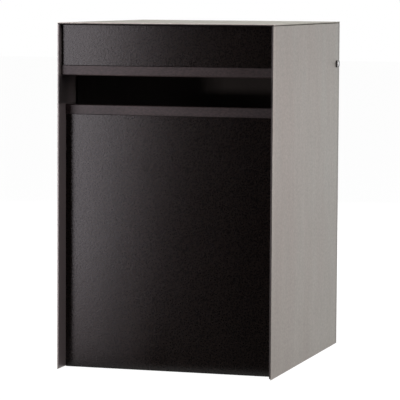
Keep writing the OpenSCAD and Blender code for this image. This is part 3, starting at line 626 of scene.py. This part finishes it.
class Tree:
    """A Geometry Nodes tree under construction, with named inputs."""

    def __init__(self, name, inputs):
        self.group = bpy.data.node_groups.new(name, "GeometryNodeTree")
        self.group.interface.new_socket("Geometry", in_out="INPUT", socket_type="NodeSocketGeometry")
        self.identifiers = {}
        for label, kind in inputs:
            made = self.group.interface.new_socket(label, in_out="INPUT", socket_type=kind)
            self.identifiers[label] = made.identifier
        self.group.interface.new_socket("Geometry", in_out="OUTPUT", socket_type="NodeSocketGeometry")
        self.inlet = self.group.nodes.new("NodeGroupInput")
        self.outlet = self.group.nodes.new("NodeGroupOutput")

    def node(self, kind, settings=None, values=None):
        made = self.group.nodes.new(kind)
        for key, value in (settings or {}).items():
            setattr(made, key, value)
        for key, value in (values or {}).items():
            for entry in value if isinstance(value, list) else [value]:
                if isinstance(entry, bpy.types.NodeSocket):
                    self.group.links.new(entry, made.inputs[key])
                else:
                    made.inputs[key].default_value = entry
        return made

    def entry(self, label):
        return self.inlet.outputs[label]

    def maths(self, operation, a, b):
        return self.node("ShaderNodeMath", {"operation": operation}, {0: a, 1: b}).outputs[0]

    def times(self, a, b):
        return self.maths("MULTIPLY", a, b)

    def moved(self, geometry, **values):
        """Geometry shifted, turned or scaled."""
        return self.node("GeometryNodeTransform", {}, {"Geometry": geometry, **values}).outputs[0]

    def lifted(self, geometry, height):
        rise = self.node("ShaderNodeCombineXYZ", {}, {"Z": height}).outputs[0]
        return self.moved(geometry, Translation=rise)

    def close(self, geometry, material):
        """Ends the tree in real geometry with its material."""
        real = self.node("GeometryNodeRealizeInstances", {}, {"Geometry": geometry}).outputs[0]
        shown = self.node("GeometryNodeSetMaterial", {}, {"Geometry": real}).outputs[0]
        shown.node.inputs["Material"].default_value = material
        self.group.links.new(shown, self.outlet.inputs[0])

    def grow(self, name, mesh, values):
        """Runs the tree on a mesh and returns the result as a plain piece."""
        seed = new_piece(name + "_seed", mesh)
        modifier = seed.modifiers.new("grow", "NODES")
        modifier.node_group = self.group
        for label, value in values.items():
            modifier[self.identifiers[label]] = value
        bpy.context.view_layer.update()
        ready = seed.evaluated_get(bpy.context.evaluated_depsgraph_get())
        grown = bpy.data.meshes.new_from_object(ready)
        grown.name = name
        seed.modifiers.remove(modifier)
        bpy.data.objects.remove(seed)
        smooth(grown)
        return new_piece(name, grown)


def points_mesh(name, places, ways):
    """Loose points that carry the way their heads face."""
    mesh = bpy.data.meshes.new(name)
    mesh.from_pydata([tuple(p) for p in places], [], [])
    layer = mesh.attributes.new("way", "FLOAT_VECTOR", "POINT")
    for k, way in enumerate(ways):
        layer.data[k].vector = way
    return mesh


def head_tree(name, material, socketed):
    """Heads with shanks on points: a domed head, hollowed by a six-sided socket where asked."""
    tree = Tree(name, [
        ("Head width", "NodeSocketFloat"), ("Head height", "NodeSocketFloat"),
        ("Shank width", "NodeSocketFloat"), ("Shank length", "NodeSocketFloat"),
    ])
    wide = tree.times(tree.entry("Head width"), 0.5)
    high = tree.entry("Head height")

    def frustum(low_share, high_share, start, share, sides=28):
        """A cut cone: its two radii, its start and its height as shares of the head's."""
        cone = tree.node("GeometryNodeMeshCone", {"fill_type": "NGON"}, {
            "Vertices": sides,
            "Radius Bottom": tree.times(wide, low_share),
            "Radius Top": tree.times(wide, high_share),
            "Depth": tree.times(high, share),
        }).outputs["Mesh"]
        return tree.lifted(cone, tree.times(high, start))

    rim = frustum(0.96, 1.0, 0.0, 0.12)
    wall = frustum(1.0, 0.97, 0.12, 0.28)
    shoulder = frustum(0.97, 0.84, 0.40, 0.34)
    crown = frustum(0.84, 0.55, 0.74, 0.26)
    layers = [rim, wall, shoulder, crown]
    head = tree.node("GeometryNodeMeshBoolean", {"operation": "UNION"}, {"Mesh 2": layers}).outputs["Mesh"]
    if socketed:
        hollow = frustum(0.5, 0.5, 0.45, 0.7, 6)
        head = tree.node(
            "GeometryNodeMeshBoolean", {"operation": "DIFFERENCE"}, {"Mesh 1": head, "Mesh 2": [hollow]}
        ).outputs["Mesh"]
    length = tree.entry("Shank length")
    shank = tree.node("GeometryNodeMeshCylinder", {}, {
        "Vertices": 20, "Radius": tree.times(tree.entry("Shank width"), 0.5), "Depth": length,
    }).outputs["Mesh"]
    shank = tree.lifted(shank, tree.times(length, -0.5))
    whole = tree.node("GeometryNodeJoinGeometry", {}, {"Geometry": [head, shank]}).outputs[0]
    way = tree.node("GeometryNodeInputNamedAttribute", {"data_type": "FLOAT_VECTOR"}, {"Name": "way"})
    turn = tree.node(
        "FunctionNodeAlignRotationToVector", {"axis": "Z"}, {"Vector": way.outputs[0]}
    ).outputs[0]
    spread = tree.node("GeometryNodeInstanceOnPoints", {}, {
        "Points": tree.entry("Geometry"), "Instance": whole, "Rotation": turn,
    }).outputs[0]
    tree.close(spread, material)
    return tree


def coil_tree(material):
    """A spring: working turns between two closed end turns."""
    tree = Tree("coil", [
        ("Radius", "NodeSocketFloat"), ("Wire", "NodeSocketFloat"), ("Length", "NodeSocketFloat"),
        ("Turns", "NodeSocketFloat"), ("Base", "NodeSocketVector"),
    ])
    wire = tree.entry("Wire")
    end_rise, steps, sides = 1.06, 28, 10
    clear = tree.times(wire, end_rise)
    between = tree.maths("SUBTRACT", tree.entry("Length"), tree.times(clear, 2.0))
    between = tree.maths("SUBTRACT", between, wire)

    def turns(count, height, start):
        line = tree.node("GeometryNodeCurveSpiral", {}, {
            "Resolution": steps, "Rotations": count, "Height": height,
            "Start Radius": tree.entry("Radius"), "End Radius": tree.entry("Radius"),
        }).outputs[0]
        return tree.lifted(line, start)

    low = tree.times(wire, 0.5)
    middle = tree.maths("ADD", low, clear)
    high = tree.maths("ADD", middle, between)
    parts = [
        turns(1.0, clear, low),
        turns(tree.entry("Turns"), between, middle),
        turns(1.0, clear, high),
    ]
    tubes = []
    for part in parts:
        ring = tree.node("GeometryNodeCurvePrimitiveCircle", {}, {
            "Resolution": sides, "Radius": tree.times(wire, 0.5),
        }).outputs[0]
        tubes.append(tree.node("GeometryNodeCurveToMesh", {}, {
            "Curve": part, "Profile Curve": ring, "Fill Caps": True,
        }).outputs[0])
    whole = tree.node("GeometryNodeJoinGeometry", {}, {"Geometry": tubes}).outputs[0]
    tree.close(tree.moved(whole, Translation=tree.entry("Base")), material)
    return tree


def rib_tree(material):
    """Upright ribs on points, each a bar with sloping flanks."""
    tree = Tree("ribs", [
        ("Length", "NodeSocketFloat"), ("Width", "NodeSocketFloat"), ("Height", "NodeSocketFloat"),
    ])
    half = tree.times(tree.entry("Width"), 0.5)
    foot_corner, crest_corner = 1.4142, 0.95
    foot = tree.node("GeometryNodeMeshCone", {"fill_type": "NGON"}, {
        "Vertices": 4, "Radius Bottom": tree.times(half, foot_corner),
        "Radius Top": tree.times(half, crest_corner), "Depth": tree.entry("Height"),
    }).outputs["Mesh"]
    square = tree.moved(foot, Rotation=(0.0, 0.0, math.radians(45)))
    stretch = tree.maths("DIVIDE", tree.entry("Length"), tree.entry("Width"))
    scale = tree.node("ShaderNodeCombineXYZ", {}, {"X": stretch, "Y": 1.0, "Z": 1.0}).outputs[0]
    bar = tree.moved(square, Scale=scale)
    spread = tree.node(
        "GeometryNodeInstanceOnPoints", {}, {"Points": tree.entry("Geometry"), "Instance": bar}
    ).outputs[0]
    tree.close(spread, material)
    return tree


# Pieces


class BOOKDROP_OT_walls(bpy.types.Operator):
    """Liners with their rims, and the grey sheets on them."""

    bl_idname = "bookdrop.walls"
    bl_label = "Side walls"

    def execute(self, context):
        for side in ("left", "right"):
            dressed(side + "_liner", "liner_coat", sizes().bend)
            dressed(side + "_cladding", "grey_coat", sizes().bend)
        return {"FINISHED"}


class BOOKDROP_OT_top(bpy.types.Operator):
    """Black tray with its flanges, and the grey tray over it."""

    bl_idname = "bookdrop.top"
    bl_label = "Top"

    def execute(self, context):
        dressed("top_liner", "matt_coat", sizes().bend)
        low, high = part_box("top_cladding")
        lip, lip_share = sizes().top_lip, 0.3
        sheet_low = (low.x, low.y + sizes().cut, low.z)
        settle(slab("top_sheet", sheet_low, high, sizes().bend), ["top_cladding"], "grey_coat")
        lip_high = (high.x, low.y + lip, low.z + lip_share * (high.z - low.z))
        settle(slab("top_front_lip", low, lip_high, sizes().cut), ["top_cladding"], "black_coat")
        return {"FINISHED"}


class BOOKDROP_OT_front(bpy.types.Operator):
    """Fascia, lower panel, the two edge trims of the slot and the black strips that paint the shadow lines along
    them.
    """

    bl_idname = "bookdrop.front"
    bl_label = "Front"

    def execute(self, context):
        dress("black_coat", sizes().bend, "fascia", "front_panel")
        dress("trim_black", sizes().cut, "upper_trim", "lower_trim")
        proud = sizes().cut
        # Matt black strips along the trims: painted shadow lines where the trims meet the fascia and the panel.
        for name, trim, panel, above in (
            ("upper_seal", "upper_trim", "fascia", True), ("lower_seal", "lower_trim", "front_panel", False),
        ):
            trim_low, trim_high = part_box(trim)
            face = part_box(panel)[0].y
            foot = trim_high.z if above else trim_low.z - sizes().seal
            low = (trim_low.x, face - proud, foot)
            high = (trim_high.x, face + proud, foot + sizes().seal)
            seal = slab(name, low, high, proud / 2)
            seal.data.materials.append(finish("matt_coat"))
            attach(seal, "cabinet")
        return {"FINISHED"}


class BOOKDROP_OT_intake(bpy.types.Operator):
    """Chute, floor pan and the hanging flap with its bearings and stops."""

    bl_idname = "bookdrop.intake"
    bl_label = "Intake"

    def execute(self, context):
        dress("matt_coat", sizes().bend, "chute", "flap_plate")
        dress("black_coat", sizes().bend, "base_pan", "flap_brackets")
        dressed("flap_bushes", "nylon", sizes().cut)
        dressed("flap_rod", "steel", sizes().cut)
        dressed("flap_stops", "rubber", sizes().soft, 3)
        return {"FINISHED"}


class BOOKDROP_OT_platform(bpy.types.Operator):
    """Tray, carriages, rods and their holders."""

    bl_idname = "bookdrop.platform"
    bl_label = "Platform"

    def execute(self, context):
        dress("zinc", sizes().bend, "platform_tray", "carriages")
        dress("nylon", sizes().cut, "carriage_bushes", "spring_seats")
        dress("steel", sizes().bend, "guide_rods")
        dress("black_coat", sizes().bend, "rod_feet", "rod_brackets")
        dressed("rod_buffers", "rubber", sizes().soft, 3)
        return {"FINISHED"}


class BOOKDROP_OT_mat(bpy.types.Operator):
    """Ribbed rubber mat on the platform."""

    bl_idname = "bookdrop.mat"
    bl_label = "Mat"

    def execute(self, context):
        low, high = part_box("platform_mat")
        size = sizes()
        rib_high = high.z - low.z - size.mat_base
        count = int((high.y - low.y - 2 * size.rib_width) / size.rib_pitch)
        start = (low.y + high.y) / 2 - size.rib_pitch * (count - 1) / 2
        middle = (low.x + high.x) / 2
        foot = low.z + size.mat_base
        places = [(middle, start + k * size.rib_pitch, foot) for k in range(count)]
        tree = rib_tree(finish("rubber"))
        ribs = tree.grow("mat_ribs", points_mesh("mat_points", places, [(0, 0, 1)] * count), {
            "Length": high.x - low.x - 2 * size.rib_width, "Width": size.rib_width, "Height": rib_high,
        })
        base = slab("mat_sheet", low, (high.x, high.y, foot), size.cut)
        settle(base, ["platform_mat"], "rubber")
        settle(ribs, ["platform_mat"], "rubber")
        return {"FINISHED"}


class BOOKDROP_OT_springs(bpy.types.Operator):
    """Springs round the guide rods."""

    bl_idname = "bookdrop.springs"
    bl_label = "Springs"

    def execute(self, context):
        tree = coil_tree(finish("zinc"))
        joint = next(j for j in frame["joints"] if j["name"] == "platform_sink")
        for side in ("left", "right"):
            node = side + "_spring"
            low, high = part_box(node)
            wire = sizes().wire
            middle = Vector(((low.x + high.x) / 2, (low.y + high.y) / 2, low.z))
            long = high.z - low.z
            seed = points_mesh(side + "_coil_point", [(0, 0, 0)], [(0, 0, 1)])
            coil = tree.grow(side + "_coil", seed, {
                "Radius": (high.x - low.x - wire) / 2, "Wire": wire, "Length": long,
                "Turns": float(sizes().turns), "Base": middle,
            })
            settle(coil, [node], "zinc")
            way = abs(joint["range_m"][0])
            (long - way) / long
            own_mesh(coil)
        return {"FINISHED"}


class BOOKDROP_OT_door(bpy.types.Operator):
    """Rear door with its hinges, pull, keeper and buffers."""

    bl_idname = "bookdrop.door"
    bl_label = "Rear door"

    def execute(self, context):
        dressed("rear_door", "black_coat", sizes().bend)
        dressed("door_pull", "black_coat", sizes().cut)
        dress("dark_steel", sizes().cut, "frame_hinges", "door_hinges")
        dressed("hinge_pins", "steel", sizes().cut)
        dressed("lock_keeper", "zinc", sizes().cut)
        dressed("door_buffers", "rubber", sizes().soft, 3)
        return {"FINISHED"}


class BOOKDROP_OT_lock(bpy.types.Operator):
    """Lock: threaded barrel, dark collar, bright head with a dull face, nut, plug, cam and screw."""

    bl_idname = "bookdrop.lock"
    bl_label = "Lock"

    def execute(self, context):
        low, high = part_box("lock_housing")
        plug_low, plug_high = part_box("lock_plug")
        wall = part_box("right_cladding")[1].x
        place = ((low.y + high.y) / 2, (low.z + high.z) / 2)
        head = (high.z - low.z) / 2
        play, barrel_share, collar_share = 0.00005, 19 / 22, 0.54
        bore = (plug_high.z - plug_low.z) / 2 + play
        barrel = head * barrel_share
        thread, pitch, lead, plain = 0.0004, 0.001, 0.0006, 0.006
        crests = []
        for k in range(int((wall - low.x - plain) / pitch)):
            x = low.x + lead + k * pitch
            crests += [(x, barrel - thread), (x + pitch / 2, barrel)]
        step = wall + collar_share * (high.x - wall)
        band, recess, floor, chamfer = 0.0018, 0.0014, 0.0006, 0.0006
        ring, face = head - band, high.x - recess
        seat = face - floor
        shoulder, edge = high.x - 0.0003, head - 0.0007
        body = [
            (wall, barrel - thread), (wall, ring), (step, ring), (step, head - 0.0005),
            (high.x - 0.0005, head - 0.0005), (shoulder, edge), (shoulder, ring), (seat, ring), (seat, bore),
        ]
        front = [
            (seat, bore), (seat, ring), (shoulder, ring), (shoulder, edge),
            (high.x, head - 0.0010), (high.x, ring + 0.0003), (face, ring - 0.0003), (face, bore + 0.0012),
            (high.x - 0.0004, bore + 0.0008), (high.x - 0.0004, bore),
        ]
        collar = [
            (wall, ring), (wall, head - chamfer), (wall + chamfer, head), (step - chamfer, head),
            (step, head - chamfer), (step, ring),
        ]
        profile = [(low.x, bore), (low.x, barrel - thread)] + crests + body
        for name, loop, coat in (
            ("lock_barrel", profile, "chrome"), ("lock_collar", collar, "dark_chrome"),
            ("lock_face", front, "satin_chrome"),
        ):
            settle(turned(name, loop, place), ["lock_housing"], coat)
        dressed("lock_plug", "chrome", sizes().cut)
        dress("zinc", sizes().cut, "lock_nut", "lock_cam")
        dressed("cam_screw", "steel", sizes().cut)
        return {"FINISHED"}


class BOOKDROP_OT_fasteners(bpy.types.Operator):
    """Screws, bolts and rivets."""

    bl_idname = "bookdrop.fasteners"
    bl_label = "Fasteners"

    def execute(self, context):
        size = sizes()
        socketed = head_tree("socket_heads", finish("zinc"), True)
        domed = head_tree("domed_heads", finish("zinc"), False)
        across = {
            "fascia_screws": socketed, "panel_screws": socketed, "bracket_screws": socketed,
            "carriage_bolts": socketed, "frame_rivets": domed,
        }
        for node, tree in across.items():
            places, ways, long = [], [], 0.0
            for low, high in islands(node):
                side = 1 if low.x + high.x > 0 else -1
                seat = (low.x if side > 0 else high.x) + side * size.head_high
                places.append((seat, (low.y + high.y) / 2, (low.z + high.z) / 2))
                ways.append((-side, 0, 0))
                long = high.x - low.x - size.head_high
            settle(tree.grow(node + "_set", points_mesh(node + "_points", places, ways), {
                "Head width": size.head_wide, "Head height": size.head_high,
                "Shank width": size.shank, "Shank length": long,
            }), [node], "zinc")
        places, ways = [], []
        for low, high in islands("door_rivets"):
            for way, y in ((1, high.y - size.rivet_high), (-1, low.y + size.rivet_high)):
                places.append(((low.x + high.x) / 2, y, (low.z + high.z) / 2))
                ways.append((0, way, 0))
        settle(domed.grow("door_rivets_set", points_mesh("door_rivet_points", places, ways), {
            "Head width": size.head_wide, "Head height": size.rivet_high,
            "Shank width": size.shank, "Shank length": size.rivet_high,
        }), ["door_rivets"], "zinc")
        return {"FINISHED"}


# Stage


FLOOR_REACH = 30.0
FLAG_RIGHT, FLAG_TOP, FLAG_Y = 4.0, 2.6, -1.9
FLAG_LEFT, FLAG_LEAN = -0.765, math.radians(5.5)
CARD_LOW, CARD_NEAR_Y = 0.002, -0.395
CARD_NEAR_X, CARD_SLANT, CARD_WIDE = -0.03, 0.352, 1.4
WING_Y, WING_FAR, WING_NEAR = -0.47, -2.8, -0.43
CAMERA_PLACE = (2.0989, -6.9588, 1.0968)

# Name, place, target, width and height, power and tint.
LAMPS = (
    ("side_light", (4.95, -1.5, 2.3), (0, 0, 0.55), (2.8, 3.0), "side_power", (1.0, 0.985, 0.97)),
    ("top_light", (0.2, 0.2, 3.2), (0, 0, 0.5), (2.4, 2.4), "top_power", (1.0, 0.965, 0.89)),
    ("low_light", (-2.67, -1.18, 0.34), (0.15, -0.25, 0.80), (0.15, 0.24), "low_power", (1.0, 0.96, 0.93)),
    ("rear_light", (-1.3, 4.4, 2.1), (0, 0.3, 0.5), (2.2, 2.0), "rear_power", (1, 1, 1)),
    ("left_card", (-1.434, -1.85, 0.95), (-1.274, 0.0, 0.85), (1.5, 1.9), "card_power", (1.0, 0.92, 0.985)),
)


def floor_finish():
    """White to the eye and to metal, with the object's shadow kept; plain matt to the bounced light."""
    f = Finish("studio_floor")
    shade = colours().floor
    matt = f.node("ShaderNodeBsdfDiffuse", {}, {"Color": rgba(shade)})
    thin = f.node("ShaderNodeBsdfDiffuse", {}, {"Color": rgba(shade, 0.7)})
    glow = f.node("ShaderNodeEmission", {}, {"Color": WHITE, "Strength": 0.97})
    bright = f.node("ShaderNodeAddShader", {}, {0: thin, 1: glow})
    return f.end(f.node("ShaderNodeMixShader", {}, {"Fac": f.seen(), 1: matt, 2: bright}))


def flag_finish():
    """Black, with a faint warm glow along the leaning left edge."""
    f = Finish("flag_blush")
    inwards = f.axis("X") - math.tan(FLAG_LEAN) * f.axis("Z") - FLAG_LEFT
    return f.shine(1.15, f.mix(f.ramp(inwards, (0.0, 1.0), (0.15, 0.0)), BLACK, (1.0, 0.70, 0.74, 1)))


def card_finish():
    """A glow that fades towards the slanting right edge and a little towards the object."""
    f = Finish("floor_card")
    across = CARD_SLANT * (f.axis("Y") - CARD_NEAR_Y) - f.axis("X") + CARD_NEAR_X
    away = CARD_NEAR_Y - f.axis("Y")
    share = f.ramp(across - 0.02, (0.0, 0.0), (0.30, 1.0)) * f.ramp(away, (0.0, 0.45), (0.5, 1.0))
    return f.shine(3.6, f.mix(share, BLACK, (1.0, 0.87, 0.91, 1)))


def sheet(name, corners, material):
    """A flat four-cornered sheet of the stage."""
    mesh = bpy.data.meshes.new(name)
    mesh.from_pydata(corners, [], [(0, 1, 2, 3)])
    mesh.materials.append(material)
    made = new_piece(name, mesh)
    return made


def soft_light(name, place, target, size, power, tint, roll):
    """A lamp of a given size that faces its target, unseen by the camera."""
    lamp = bpy.data.lights.new(name, "AREA")
    lamp.shape = "RECTANGLE"
    lamp.size, lamp.size_y = size
    lamp.energy = power
    lamp.color = tint
    made = bpy.data.objects.new(name, lamp)
    bpy.context.scene.collection.objects.link(made)
    made.location = place
    facing = (Vector(target) - Vector(place)).to_track_quat("-Z", "Y")
    made.rotation_euler = (facing @ Quaternion((0, 0, 1), roll)).to_euler()
    made.visible_camera = False
    return made


class BOOKDROP_OT_stage(bpy.types.Operator):
    """Floor, flags and cards that only gloss sees, lamps, room light and camera."""

    bl_idname = "bookdrop.stage"
    bl_label = "Stage"

    def execute(self, context):
        look = studio()
        reach = FLOOR_REACH
        corners = [(-reach, -reach, 0), (reach, -reach, 0), (reach, reach, 0), (-reach, reach, 0)]
        sheet("floor", corners, floor_finish())
        self.add_cards()
        for name, place, target, size, power, tint in LAMPS:
            card = name == "left_card"
            lamp = soft_light(
                name, place, target, size, getattr(look, power), tint, -FLAG_LEAN if card else 0.0
            )
            lamp.visible_diffuse = not card
            lamp.visible_glossy = name != "rear_light"
        room = Finish("studio_room", bpy.data.worlds)
        context.scene.world = room.block
        dim = room.node("ShaderNodeBackground", {}, {"Color": WHITE, "Strength": look.ambient})
        backdrop = room.node("ShaderNodeBackground", {}, {"Color": WHITE})
        mixed = room.node("ShaderNodeMixShader", {}, {"Fac": room.seen(), 1: dim, 2: backdrop})
        room.node("ShaderNodeOutputWorld", {}, {"Surface": mixed})
        context.scene.view_settings.view_transform = "Standard"
        self.add_camera(context, look)
        return {"FINISHED"}

    def add_cards(self):
        """Dark and lit sheets that show only as reflections in the coats and the lock."""
        dark = Finish("flag_black").close({"Base Color": (0.004, 0.004, 0.004, 1), "Roughness": 0.9})
        far = CARD_NEAR_X + CARD_SLANT * (FLAG_Y - CARD_NEAR_Y)
        top_left = FLAG_LEFT + FLAG_TOP * math.tan(FLAG_LEAN)
        middle, low, near_y = FLAG_RIGHT / 2, CARD_LOW, CARD_NEAR_Y
        cards = (
            ("flag", [
                (FLAG_LEFT, FLAG_Y, 0), (FLAG_RIGHT, FLAG_Y, 0),
                (FLAG_RIGHT, FLAG_Y, FLAG_TOP), (top_left, FLAG_Y, FLAG_TOP),
            ], flag_finish()),
            ("floor_flag", [
                (far, FLAG_Y, low), (middle, FLAG_Y, low), (middle, near_y, low), (CARD_NEAR_X, near_y, low),
            ], dark),
            ("floor_card", [
                (far - CARD_WIDE, FLAG_Y, low), (far, FLAG_Y, low),
                (CARD_NEAR_X, near_y, low), (-CARD_WIDE, near_y, low),
            ], card_finish()),
            ("side_board", [
                (WING_FAR, WING_Y, 0), (WING_NEAR, WING_Y, 0),
                (WING_NEAR, WING_Y, FLAG_TOP), (WING_FAR, WING_Y, FLAG_TOP),
            ], Finish("side_board").shine(0.9)),
        )
        for name, corners, material in cards:
            card = sheet(name, corners, material)
            for ray in ("camera", "diffuse", "shadow", "transmission"):
                setattr(card, "visible_" + ray, False)

    def add_camera(self, context, look):
        """The camera stands at the right front, a little above the object."""
        ahead = Vector((
            -math.sin(look.yaw) * math.cos(look.pitch),
            math.cos(look.yaw) * math.cos(look.pitch),
            -math.sin(look.pitch),
        ))
        level = Vector((math.cos(look.yaw), math.sin(look.yaw), 0))
        upward = level.cross(ahead)
        right = level * math.cos(look.roll) + upward * math.sin(look.roll)
        upward = right.cross(ahead)
        turn = Matrix((right, upward, -ahead)).transposed().to_4x4()
        lens = bpy.data.cameras.new("camera")
        lens.lens = look.lens
        lens.sensor_width = 36.0
        lens.clip_end = 100.0
        camera = bpy.data.objects.new("camera", lens)
        context.scene.collection.objects.link(camera)
        camera.matrix_world = Matrix.Translation(Vector(CAMERA_PLACE)) @ turn
        context.scene.camera = camera


PIECES = (
    BOOKDROP_OT_walls,
    BOOKDROP_OT_top,
    BOOKDROP_OT_front,
    BOOKDROP_OT_intake,
    BOOKDROP_OT_platform,
    BOOKDROP_OT_mat,
    BOOKDROP_OT_springs,
    BOOKDROP_OT_door,
    BOOKDROP_OT_lock,
    BOOKDROP_OT_fasteners,
    BOOKDROP_OT_stage,
)


class BOOKDROP_PT_panel(bpy.types.Panel):
    """Lists the pieces of the book drop box."""

    bl_idname = "BOOKDROP_PT_panel"
    bl_label = "Book drop box"
    bl_space_type = "VIEW_3D"
    bl_region_type = "UI"
    bl_category = "Book drop"

    def draw(self, context):
        for piece in PIECES:
            self.layout.operator(piece.bl_idname)
        for group in (sizes(), colours(), studio()):
            for key in group.__annotations__:
                self.layout.prop(group, key)


GROUPS = {
    "book_drop_sizes": BookDropSizes,
    "book_drop_colours": BookDropColours,
    "book_drop_studio": BookDropStudio,
}


def register():
    for kind in (*GROUPS.values(), *PIECES, BOOKDROP_PT_panel):
        bpy.utils.register_class(kind)
    for key, kind in GROUPS.items():
        setattr(bpy.types.Scene, key, bpy.props.PointerProperty(type=kind))


def unregister():
    for key in GROUPS:
        delattr(bpy.types.Scene, key)
    for kind in (BOOKDROP_PT_panel, *PIECES, *GROUPS.values()):
        bpy.utils.unregister_class(kind)


def main():
    register()
    for piece in PIECES:
        group, action = piece.bl_idname.split(".")
        getattr(getattr(bpy.ops, group), action)()


if __name__ == "__main__":
    main()
